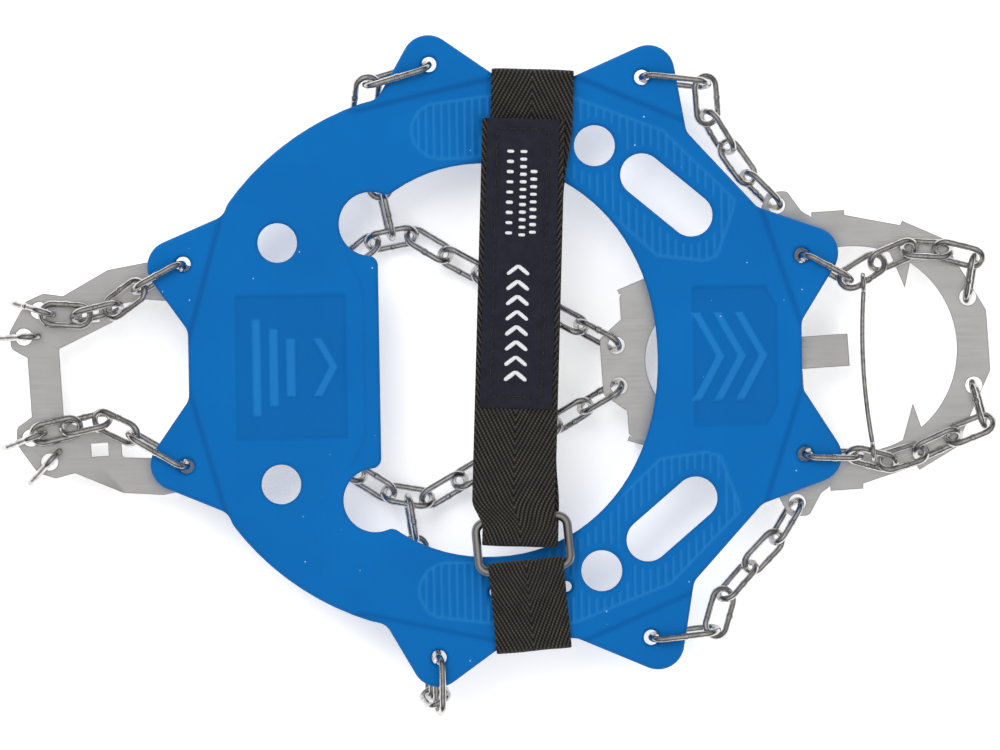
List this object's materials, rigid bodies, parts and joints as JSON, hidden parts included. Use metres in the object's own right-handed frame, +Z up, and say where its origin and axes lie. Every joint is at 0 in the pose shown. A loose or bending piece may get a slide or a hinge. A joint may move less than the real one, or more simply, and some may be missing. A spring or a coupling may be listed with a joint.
{
  "type": "shoe ice cleat",
  "caption": "Elastomer harness with chains, two toothed steel plates and a hook-and-loop strap, worn under a shoe for grip on ice and snow.",
  "frame": {"origin": "below the middle of the laid-flat part, in the plane of the tooth tips", "axes": "+X towards the toe, +Y towards the left side band that carries the strap loop, +Z up from the tooth tips through the harness"},
  "size_m": [0.3051, 0.2071, 0.0289],
  "materials": {
    "elastomer": "satin moulded elastomer",
    "webbing": "herringbone woven polyamide",
    "hook_tape": "hook side of a hook-and-loop tape",
    "label": "fine woven label with a stitched border",
    "ring_steel": "satin",
    "plate_steel": "satin, brushed",
    "chain_steel": "polished stainless wire"
  },
  "bodies": {
    "harness": {"harness": "elastomer", "strap_web": "webbing", "strap_lower_loop": "webbing"},
    "strap_flap": {"strap_flap": "webbing", "hook_pad": "hook_tape", "label_patch": "label"},
    "strap_ring": {"strap_ring": "ring_steel"},
    "front_plate": {"front_plate": "plate_steel"},
    "heel_plate": {"heel_plate": "plate_steel"},
    "toe_wire": {"toe_wire": "chain_steel"},
    "tab_link_rear_left": {"tab_link_rear_left": "chain_steel"},
    "chain_rear_left_1": {"chain_rear_left_1": "chain_steel"},
    "chain_rear_left_2": {"chain_rear_left_2": "chain_steel"},
    "chain_rear_left_3": {"chain_rear_left_3": "chain_steel"},
    "tab_link_rear_right": {"tab_link_rear_right": "chain_steel"},
    "chain_rear_right_1": {"chain_rear_right_1": "chain_steel"},
    "chain_rear_right_2": {"chain_rear_right_2": "chain_steel"},
    "chain_rear_right_3": {"chain_rear_right_3": "chain_steel"},
    "tab_link_side_front_left": {"tab_link_side_front_left": "chain_steel"},
    "chain_side_front_left_1": {"chain_side_front_left_1": "chain_steel"},
    "chain_side_front_left_2": {"chain_side_front_left_2": "chain_steel"},
    "chain_side_front_left_3": {"chain_side_front_left_3": "chain_steel"},
    "chain_side_front_left_4": {"chain_side_front_left_4": "chain_steel"},
    "tab_link_side_front_right": {"tab_link_side_front_right": "chain_steel"},
    "chain_side_front_right_1": {"chain_side_front_right_1": "chain_steel"},
    "chain_side_front_right_2": {"chain_side_front_right_2": "chain_steel"},
    "chain_side_front_right_3": {"chain_side_front_right_3": "chain_steel"},
    "chain_side_front_right_4": {"chain_side_front_right_4": "chain_steel"},
    "tab_link_front_left": {"tab_link_front_left": "chain_steel"},
    "chain_front_left_1": {"chain_front_left_1": "chain_steel"},
    "chain_front_left_2": {"chain_front_left_2": "chain_steel"},
    "chain_front_left_3": {"chain_front_left_3": "chain_steel"},
    "chain_front_left_4": {"chain_front_left_4": "chain_steel"},
    "tab_link_front_right": {"tab_link_front_right": "chain_steel"},
    "chain_front_right_1": {"chain_front_right_1": "chain_steel"},
    "chain_front_right_2": {"chain_front_right_2": "chain_steel"},
    "chain_front_right_3": {"chain_front_right_3": "chain_steel"},
    "chain_front_right_4": {"chain_front_right_4": "chain_steel"},
    "tab_link_side_rear_left": {"tab_link_side_rear_left": "chain_steel"},
    "chain_side_rear_left_1": {"chain_side_rear_left_1": "chain_steel"},
    "chain_side_rear_left_2": {"chain_side_rear_left_2": "chain_steel"},
    "junction_left": {"junction_left": "chain_steel"},
    "tab_link_side_rear_right": {"tab_link_side_rear_right": "chain_steel"},
    "chain_side_rear_right_1": {"chain_side_rear_right_1": "chain_steel"},
    "chain_side_rear_right_2": {"chain_side_rear_right_2": "chain_steel"},
    "chain_side_rear_right_3": {"chain_side_rear_right_3": "chain_steel"},
    "junction_right": {"junction_right": "chain_steel"},
    "chain_heel_left_1": {"chain_heel_left_1": "chain_steel"},
    "chain_heel_left_2": {"chain_heel_left_2": "chain_steel"},
    "chain_middle_left_1": {"chain_middle_left_1": "chain_steel"},
    "chain_middle_left_2": {"chain_middle_left_2": "chain_steel"},
    "chain_middle_left_3": {"chain_middle_left_3": "chain_steel"},
    "heel_links_left": {"heel_links_left": "chain_steel"},
    "chain_heel_right_1": {"chain_heel_right_1": "chain_steel"},
    "chain_heel_right_2": {"chain_heel_right_2": "chain_steel"},
    "chain_middle_right_1": {"chain_middle_right_1": "chain_steel"},
    "chain_middle_right_2": {"chain_middle_right_2": "chain_steel"},
    "chain_middle_right_3": {"chain_middle_right_3": "chain_steel"},
    "heel_links_right": {"heel_links_right": "chain_steel"}
  },
  "joints": [
    {"name": "front_plate_drop", "type": "slide", "parent": "harness", "child": "front_plate", "axis": [-0.1191, 0, -0.9929], "range_m": [0, 0.004]},
    {"name": "heel_plate_drop", "type": "slide", "parent": "harness", "child": "heel_plate", "axis": [0, 0, -1], "range_m": [0, 0.004]},
    {"name": "tab_link_rear_left_tilt", "type": "hinge", "parent": "harness", "child": "tab_link_rear_left", "pos_m": [-0.0939, 0.0352, 0.0215], "axis": [0.3335, -0.9427, 0], "range_deg": [-0.05, 0.91]},
    {"name": "chain_rear_left_1_tilt", "type": "hinge", "parent": "tab_link_rear_left", "child": "chain_rear_left_1", "pos_m": [-0.10805, 0.02768, 0.0204], "axis": [0.3335, -0.9427, 0], "range_deg": [-0.05, 7.32]},
    {"name": "chain_rear_left_2_tilt", "type": "hinge", "parent": "chain_rear_left_1", "child": "chain_rear_left_2", "pos_m": [-0.1157, 0.0223, 0.017], "axis": [0.3335, -0.9427, 0], "range_deg": [-0.29, 0.05]},
    {"name": "chain_rear_left_3_tilt", "type": "hinge", "parent": "chain_rear_left_2", "child": "chain_rear_left_3", "pos_m": [-0.1253, 0.0201, 0.017], "axis": [0.3335, -0.9427, 0], "range_deg": [-0.29, 0.05]},
    {"name": "tab_link_rear_right_tilt", "type": "hinge", "parent": "harness", "child": "tab_link_rear_right", "pos_m": [-0.0939, -0.0262, 0.0215], "axis": [-0.2342, -0.9722, 0], "range_deg": [-0.05, 0.91]},
    {"name": "chain_rear_right_1_tilt", "type": "hinge", "parent": "tab_link_rear_right", "child": "chain_rear_right_1", "pos_m": [-0.11056, -0.01619, 0.0204], "axis": [-0.2342, -0.9722, 0], "range_deg": [-0.05, 7.4]},
    {"name": "chain_rear_right_2_tilt", "type": "hinge", "parent": "chain_rear_right_1", "child": "chain_rear_right_2", "pos_m": [-0.1197, -0.0117, 0.017], "axis": [-0.2342, -0.9722, 0], "range_deg": [-0.3, 0.05]},
    {"name": "chain_rear_right_3_tilt", "type": "hinge", "parent": "chain_rear_right_2", "child": "chain_rear_right_3", "pos_m": [-0.129, -0.0137, 0.017], "axis": [-0.2342, -0.9722, 0], "range_deg": [-0.3, 0.05]},
    {"name": "tab_link_side_front_left_tilt", "type": "hinge", "parent": "harness", "child": "tab_link_side_front_left", "pos_m": [0.0464, 0.0896, 0.0215], "axis": [0.698, 0.7161, 0], "range_deg": [-0.05, 0.91]},
    {"name": "chain_side_front_left_1_tilt", "type": "hinge", "parent": "tab_link_side_front_left", "child": "chain_side_front_left_1", "pos_m": [0.06569, 0.08723, 0.0204], "axis": [0.698, 0.7161, 0], "range_deg": [-0.05, 5.22]},
    {"name": "chain_side_front_left_2_tilt", "type": "hinge", "parent": "chain_side_front_left_1", "child": "chain_side_front_left_2", "pos_m": [0.0663, 0.0777, 0.0181], "axis": [0.698, 0.7161, 0], "range_deg": [-0.23, 0.05]},
    {"name": "chain_side_front_left_3_tilt", "type": "hinge", "parent": "chain_side_front_left_2", "child": "chain_side_front_left_3", "pos_m": [0.0721, 0.0679, 0.0148], "axis": [0.698, 0.7161, 0], "range_deg": [-0.23, 0.05]},
    {"name": "chain_side_front_left_4_tilt", "type": "hinge", "parent": "chain_side_front_left_3", "child": "chain_side_front_left_4", "pos_m": [0.0783, 0.0589, 0.0134], "axis": [0.698, 0.7161, 0], "range_deg": [-1.62, 0.05]},
    {"name": "tab_link_side_front_right_tilt", "type": "hinge", "parent": "harness", "child": "tab_link_side_front_right", "pos_m": [0.0464, -0.0806, 0.0215], "axis": [-0.6604, 0.751, 0], "range_deg": [-0.05, 0.91]},
    {"name": "chain_side_front_right_1_tilt", "type": "hinge", "parent": "tab_link_side_front_right", "child": "chain_side_front_right_1", "pos_m": [0.06573, -0.07857, 0.0204], "axis": [-0.6604, 0.751, 0], "range_deg": [-0.05, 4.65]},
    {"name": "chain_side_front_right_2_tilt", "type": "hinge", "parent": "chain_side_front_right_1", "child": "chain_side_front_right_2", "pos_m": [0.0688, -0.0684, 0.0181], "axis": [-0.6604, 0.751, 0], "range_deg": [-0.21, 0.05]},
    {"name": "chain_side_front_right_3_tilt", "type": "hinge", "parent": "chain_side_front_right_2", "child": "chain_side_front_right_3", "pos_m": [0.0769, -0.0595, 0.0148], "axis": [-0.6604, 0.751, 0], "range_deg": [-0.21, 0.05]},
    {"name": "chain_side_front_right_4_tilt", "type": "hinge", "parent": "chain_side_front_right_3", "child": "chain_side_front_right_4", "pos_m": [0.0851, -0.0511, 0.0134], "axis": [-0.6604, 0.751, 0], "range_deg": [-1.47, 0.05]},
    {"name": "tab_link_front_left_tilt", "type": "hinge", "parent": "harness", "child": "tab_link_front_left", "pos_m": [0.0941, 0.0347, 0.0215], "axis": [0.254, 0.9672, 0], "range_deg": [-0.05, 0.91]},
    {"name": "chain_front_left_1_tilt", "type": "hinge", "parent": "tab_link_front_left", "child": "chain_front_left_1", "pos_m": [0.10811, 0.02693, 0.0204], "axis": [0.254, 0.9672, 0], "range_deg": [-0.05, 6.73]},
    {"name": "chain_front_left_2_tilt", "type": "hinge", "parent": "chain_front_left_1", "child": "chain_front_left_2", "pos_m": [0.1167, 0.0321, 0.0181], "axis": [0.254, 0.9672, 0], "range_deg": [-0.28, 0.05]},
    {"name": "chain_front_left_3_tilt", "type": "hinge", "parent": "chain_front_left_2", "child": "chain_front_left_3", "pos_m": [0.1271, 0.0363, 0.016], "axis": [0.254, 0.9672, 0], "range_deg": [-0.28, 0.05]},
    {"name": "chain_front_left_4_tilt", "type": "hinge", "parent": "chain_front_left_3", "child": "chain_front_left_4", "pos_m": [0.1374, 0.0355, 0.0165], "axis": [0.254, 0.9672, 0], "range_deg": [-4.87, 0.05]},
    {"name": "tab_link_front_right_tilt", "type": "hinge", "parent": "harness", "child": "tab_link_front_right", "pos_m": [0.0941, -0.0257, 0.0215], "axis": [-0.3561, 0.9345, 0], "range_deg": [-0.05, 0.91]},
    {"name": "chain_front_right_1_tilt", "type": "hinge", "parent": "tab_link_front_right", "child": "chain_front_right_1", "pos_m": [0.11011, -0.02626, 0.0204], "axis": [-0.3561, 0.9345, 0], "range_deg": [-0.05, 5.87]},
    {"name": "chain_front_right_2_tilt", "type": "hinge", "parent": "chain_front_right_1", "child": "chain_front_right_2", "pos_m": [0.1187, -0.0287, 0.0181], "axis": [-0.3561, 0.9345, 0], "range_deg": [-0.25, 0.05]},
    {"name": "chain_front_right_3_tilt", "type": "hinge", "parent": "chain_front_right_2", "child": "chain_front_right_3", "pos_m": [0.1289, -0.0257, 0.016], "axis": [-0.3561, 0.9345, 0], "range_deg": [-0.25, 0.05]},
    {"name": "chain_front_right_4_tilt", "type": "hinge", "parent": "chain_front_right_3", "child": "chain_front_right_4", "pos_m": [0.1401, -0.0208, 0.0158], "axis": [-0.3561, 0.9345, 0], "range_deg": [-4.33, 0.05]},
    {"name": "tab_link_side_rear_left_tilt", "type": "hinge", "parent": "harness", "child": "tab_link_side_rear_left", "pos_m": [-0.0182, 0.0946, 0.0215], "axis": [0.9715, -0.2372, 0], "range_deg": [-0.05, 0.91]},
    {"name": "chain_side_rear_left_1_tilt", "type": "hinge", "parent": "tab_link_side_rear_left", "child": "chain_side_rear_left_1", "pos_m": [-0.03688, 0.08924, 0.0204], "axis": [0.9715, -0.2372, 0], "range_deg": [-0.05, 1.73]},
    {"name": "chain_side_rear_left_2_tilt", "type": "hinge", "parent": "chain_side_rear_left_1", "child": "chain_side_rear_left_2", "pos_m": [-0.0357, 0.0681, 0.0116], "axis": [0.9715, -0.2372, 0], "range_deg": [-0.18, 0.05]},
    {"name": "junction_left_level", "type": "hinge", "parent": "chain_side_rear_left_2", "child": "junction_left", "pos_m": [-0.0307, 0.0434, 0.0083], "axis": [0.9715, -0.2372, 0], "range_deg": [-2.46, 0.05]},
    {"name": "tab_link_side_rear_right_tilt", "type": "hinge", "parent": "harness", "child": "tab_link_side_rear_right", "pos_m": [-0.0182, -0.0856, 0.0215], "axis": [-0.9843, -0.1764, 0], "range_deg": [-0.05, 0.91]},
    {"name": "chain_side_rear_right_1_tilt", "type": "hinge", "parent": "tab_link_side_rear_right", "child": "chain_side_rear_right_1", "pos_m": [-0.0182, -0.09931, 0.0204], "axis": [-0.9843, -0.1764, 0], "range_deg": [-0.05, 0.54]},
    {"name": "chain_side_rear_right_2_tilt", "type": "hinge", "parent": "chain_side_rear_right_1", "child": "chain_side_rear_right_2", "pos_m": [-0.0216, -0.087, 0.0052], "axis": [-0.9843, -0.1764, 0], "range_deg": [-0.05, 0.95]},
    {"name": "chain_side_rear_right_3_tilt", "type": "hinge", "parent": "chain_side_rear_right_2", "child": "chain_side_rear_right_3", "pos_m": [-0.0239, -0.0626, 0.0054], "axis": [-0.9843, -0.1764, 0], "range_deg": [-0.16, 0.05]},
    {"name": "junction_right_level", "type": "hinge", "parent": "chain_side_rear_right_3", "child": "junction_right", "pos_m": [-0.0268, -0.0376, 0.0083], "axis": [-0.9843, -0.1764, 0], "range_deg": [-2.19, 0.05]},
    {"name": "chain_heel_left_1_tilt", "type": "hinge", "parent": "heel_plate", "child": "chain_heel_left_1", "pos_m": [-0.07172, 0.01629, 0.01125], "axis": [-0.575, 0.8181, 0], "range_deg": [-3.18, 0.05]},
    {"name": "chain_heel_left_2_tilt", "type": "hinge", "parent": "chain_heel_left_1", "child": "chain_heel_left_2", "pos_m": [-0.0534, 0.0287, 0.0064], "axis": [-0.575, 0.8181, 0], "range_deg": [-0.05, 0.99]},
    {"name": "chain_middle_left_1_tilt", "type": "hinge", "parent": "junction_left", "child": "chain_middle_left_1", "pos_m": [-0.0243, 0.0431, 0.006], "axis": [0.4915, 0.8709, 0], "range_deg": [-1.67, 0.05]},
    {"name": "chain_middle_left_2_tilt", "type": "hinge", "parent": "chain_middle_left_1", "child": "chain_middle_left_2", "pos_m": [-0.0039, 0.031, 0.006], "axis": [0.4915, 0.8709, 0], "range_deg": [-0.05, 6.52]},
    {"name": "chain_middle_left_3_tilt", "type": "hinge", "parent": "chain_middle_left_2", "child": "chain_middle_left_3", "pos_m": [0.0164, 0.0198, 0.007], "axis": [0.4915, 0.8709, 0], "range_deg": [-3.29, 0.05]},
    {"name": "heel_links_left_tilt", "type": "hinge", "parent": "heel_plate", "child": "heel_links_left", "pos_m": [-0.1405, 0.01794, 0.01125], "axis": [-0.5155, -0.8569, 0], "range_deg": [-0.05, 2.55]},
    {"name": "chain_heel_right_1_tilt", "type": "hinge", "parent": "heel_plate", "child": "chain_heel_right_1", "pos_m": [-0.07026, -0.01168, 0.01125], "axis": [0.5365, 0.8439, 0], "range_deg": [-3.1, 0.05]},
    {"name": "chain_heel_right_2_tilt", "type": "hinge", "parent": "chain_heel_right_1", "child": "chain_heel_right_2", "pos_m": [-0.0511, -0.0238, 0.0064], "axis": [0.5365, 0.8439, 0], "range_deg": [-0.05, 0.96]},
    {"name": "chain_middle_right_1_tilt", "type": "hinge", "parent": "junction_right", "child": "chain_middle_right_1", "pos_m": [-0.0207, -0.0375, 0.006], "axis": [-0.4945, 0.8692, 0], "range_deg": [-1.75, 0.05]},
    {"name": "chain_middle_right_2_tilt", "type": "hinge", "parent": "chain_middle_right_1", "child": "chain_middle_right_2", "pos_m": [-0.0014, -0.0265, 0.006], "axis": [-0.4945, 0.8692, 0], "range_deg": [-0.05, 6.79]},
    {"name": "chain_middle_right_3_tilt", "type": "hinge", "parent": "chain_middle_right_2", "child": "chain_middle_right_3", "pos_m": [0.0179, -0.0156, 0.007], "axis": [-0.4945, 0.8692, 0], "range_deg": [-3.42, 0.05]},
    {"name": "heel_links_right_tilt", "type": "hinge", "parent": "heel_plate", "child": "heel_links_right", "pos_m": [-0.13849, -0.02051, 0.01125], "axis": [0.6023, -0.7983, 0], "range_deg": [-0.05, 2.55]},
    {"name": "toe_wire_drop", "type": "slide", "parent": "harness", "child": "toe_wire", "axis": [0, 0, -1], "range_m": [0, 0.000815]},
    {"name": "strap_flap_open", "type": "hinge", "parent": "harness", "child": "strap_flap", "pos_m": [0.00716, -0.04798, 0.0282], "axis": [0.999, -0.0441, 0], "range_deg": [0, 130]},
    {"name": "strap_ring_tilt", "type": "hinge", "parent": "harness", "child": "strap_ring", "pos_m": [0.0085, -0.05913, 0.0261], "axis": [0.9969, 0.0785, 0], "range_deg": [0, 13.2]}
  ],
  "couplings": [
    {"joint": "tab_link_rear_left_tilt", "follows": "heel_plate_drop", "rad_per_m": 3.75},
    {"joint": "chain_rear_left_1_tilt", "follows": "heel_plate_drop", "rad_per_m": 31.713},
    {"joint": "chain_rear_left_2_tilt", "follows": "heel_plate_drop", "rad_per_m": -1.0639},
    {"joint": "chain_rear_left_3_tilt", "follows": "heel_plate_drop", "rad_per_m": -1.0639},
    {"joint": "tab_link_rear_right_tilt", "follows": "heel_plate_drop", "rad_per_m": 3.75},
    {"joint": "chain_rear_right_1_tilt", "follows": "heel_plate_drop", "rad_per_m": 32.079},
    {"joint": "chain_rear_right_2_tilt", "follows": "heel_plate_drop", "rad_per_m": -1.0749},
    {"joint": "chain_rear_right_3_tilt", "follows": "heel_plate_drop", "rad_per_m": -1.0749},
    {"joint": "tab_link_side_front_left_tilt", "follows": "front_plate_drop", "rad_per_m": 3.75},
    {"joint": "chain_side_front_left_1_tilt", "follows": "front_plate_drop", "rad_per_m": 22.579},
    {"joint": "chain_side_front_left_2_tilt", "follows": "front_plate_drop", "rad_per_m": -0.78987},
    {"joint": "chain_side_front_left_3_tilt", "follows": "front_plate_drop", "rad_per_m": -0.78987},
    {"joint": "chain_side_front_left_4_tilt", "follows": "front_plate_drop", "rad_per_m": -6.8455},
    {"joint": "tab_link_side_front_right_tilt", "follows": "front_plate_drop", "rad_per_m": 3.75},
    {"joint": "chain_side_front_right_1_tilt", "follows": "front_plate_drop", "rad_per_m": 20.079},
    {"joint": "chain_side_front_right_2_tilt", "follows": "front_plate_drop", "rad_per_m": -0.71486},
    {"joint": "chain_side_front_right_3_tilt", "follows": "front_plate_drop", "rad_per_m": -0.71486},
    {"joint": "chain_side_front_right_4_tilt", "follows": "front_plate_drop", "rad_per_m": -6.1955},
    {"joint": "tab_link_front_left_tilt", "follows": "front_plate_drop", "rad_per_m": 3.75},
    {"joint": "chain_front_left_1_tilt", "follows": "front_plate_drop", "rad_per_m": 29.126},
    {"joint": "chain_front_left_2_tilt", "follows": "front_plate_drop", "rad_per_m": -0.98627},
    {"joint": "chain_front_left_3_tilt", "follows": "front_plate_drop", "rad_per_m": -0.98627},
    {"joint": "chain_front_left_4_tilt", "follows": "front_plate_drop", "rad_per_m": -21.04},
    {"joint": "tab_link_front_right_tilt", "follows": "front_plate_drop", "rad_per_m": 3.75},
    {"joint": "chain_front_right_1_tilt", "follows": "front_plate_drop", "rad_per_m": 25.399},
    {"joint": "chain_front_right_2_tilt", "follows": "front_plate_drop", "rad_per_m": -0.87447},
    {"joint": "chain_front_right_3_tilt", "follows": "front_plate_drop", "rad_per_m": -0.87447},
    {"joint": "chain_front_right_4_tilt", "follows": "front_plate_drop", "rad_per_m": -18.655},
    {"joint": "tab_link_side_rear_left_tilt", "follows": "heel_plate_drop", "rad_per_m": 3.75},
    {"joint": "chain_side_rear_left_1_tilt", "follows": "heel_plate_drop", "rad_per_m": 7.3133},
    {"joint": "chain_side_rear_left_2_tilt", "follows": "heel_plate_drop", "rad_per_m": -0.55317},
    {"joint": "junction_left_level", "follows": "heel_plate_drop", "rad_per_m": -10.51},
    {"joint": "tab_link_side_rear_right_tilt", "follows": "heel_plate_drop", "rad_per_m": 3.75},
    {"joint": "chain_side_rear_right_1_tilt", "follows": "heel_plate_drop", "rad_per_m": 2.1582},
    {"joint": "chain_side_rear_right_2_tilt", "follows": "heel_plate_drop", "rad_per_m": 3.9388},
    {"joint": "chain_side_rear_right_3_tilt", "follows": "heel_plate_drop", "rad_per_m": -0.49235},
    {"joint": "junction_right_level", "follows": "heel_plate_drop", "rad_per_m": -9.3547},
    {"joint": "chain_heel_left_1_tilt", "follows": "heel_plate_drop", "rad_per_m": -13.66},
    {"joint": "chain_heel_left_2_tilt", "follows": "heel_plate_drop", "rad_per_m": 4.0979},
    {"joint": "chain_middle_left_1_tilt", "follows": "heel_plate_drop", "rad_per_m": -7.0601},
    {"joint": "chain_middle_left_2_tilt", "follows": "front_plate_drop", "rad_per_m": 28.251},
    {"joint": "chain_middle_left_3_tilt", "follows": "front_plate_drop", "rad_per_m": -14.125},
    {"joint": "heel_links_left_tilt", "follows": "heel_plate_drop", "rad_per_m": 10.908},
    {"joint": "chain_heel_right_1_tilt", "follows": "heel_plate_drop", "rad_per_m": -13.29},
    {"joint": "chain_heel_right_2_tilt", "follows": "heel_plate_drop", "rad_per_m": 3.9869},
    {"joint": "chain_middle_right_1_tilt", "follows": "heel_plate_drop", "rad_per_m": -7.4005},
    {"joint": "chain_middle_right_2_tilt", "follows": "front_plate_drop", "rad_per_m": 29.413},
    {"joint": "chain_middle_right_3_tilt", "follows": "front_plate_drop", "rad_per_m": -14.706},
    {"joint": "heel_links_right_tilt", "follows": "heel_plate_drop", "rad_per_m": 10.908},
    {"joint": "toe_wire_drop", "follows": "front_plate_drop", "ratio": 0.20115},
    {"joint": "strap_ring_tilt", "follows": "strap_flap_open", "ratio": 0.1}
  ]
}
